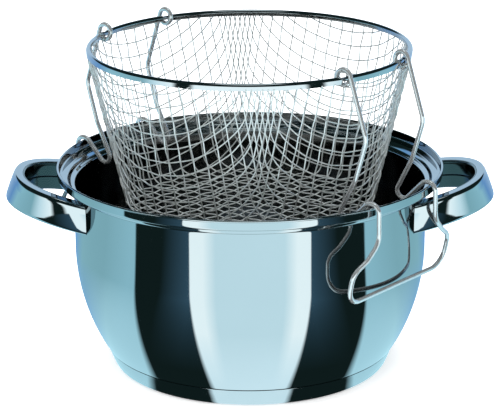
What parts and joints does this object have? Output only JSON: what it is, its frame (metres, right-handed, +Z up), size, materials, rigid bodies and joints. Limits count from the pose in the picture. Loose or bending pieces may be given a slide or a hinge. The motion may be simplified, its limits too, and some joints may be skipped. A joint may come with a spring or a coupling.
{
  "type": "stovetop deep fryer",
  "caption": "Polished bellied pot with loop side handles and a round wire frying basket that parks above the oil on hinged wire bails hooked over the rim.",
  "frame": {"origin": "centre of the pot's foot, on the surface it stands on", "axes": "+Z up, +X towards the right handle, -Y towards the front"},
  "size_m": [0.318, 0.25, 0.2171],
  "materials": {
    "pot_steel": "mirror polished stainless steel",
    "core_aluminium": "plain",
    "base_steel": "polished stainless steel",
    "handle_steel": "mirror polished stainless steel",
    "mesh_wire": "bright drawn wire",
    "rim_steel": "polished",
    "bail_wire": "polished wire"
  },
  "bodies": {
    "pot": {"pot_floor": "pot_steel", "pot_belly": "pot_steel", "pot_wall": "pot_steel", "pot_rim": "pot_steel", "base_core": "core_aluminium", "base_capsule": "base_steel", "left_handle_outer": "handle_steel", "left_handle_inner": "handle_steel", "right_handle_outer": "handle_steel", "right_handle_inner": "handle_steel"},
    "basket": {"basket_mesh": "mesh_wire", "basket_rim_wire": "rim_steel", "basket_rim_band": "rim_steel"},
    "front_bail": {"front_bail": "bail_wire"},
    "back_bail": {"back_bail": "bail_wire"}
  },
  "joints": [
    {"name": "basket_lift", "type": "slide", "parent": "pot", "child": "basket", "axis": [0, 0, 1], "range_m": [0, 0.22]},
    {"name": "front_bail_hinge", "type": "hinge", "parent": "basket", "child": "front_bail", "pos_m": [0.07549, -0.06223, 0.2095], "axis": [-0.6361, -0.7716, 0], "range_deg": [0, 65]},
    {"name": "back_bail_hinge", "type": "hinge", "parent": "basket", "child": "back_bail", "pos_m": [-0.07549, 0.06223, 0.2095], "axis": [0.6361, 0.7716, 0], "range_deg": [0, 65]}
  ],
  "couplings": [
    {"joint": "front_bail_hinge", "follows": "basket_lift", "rad_per_m": 5},
    {"joint": "back_bail_hinge", "follows": "basket_lift", "rad_per_m": 5}
  ]
}
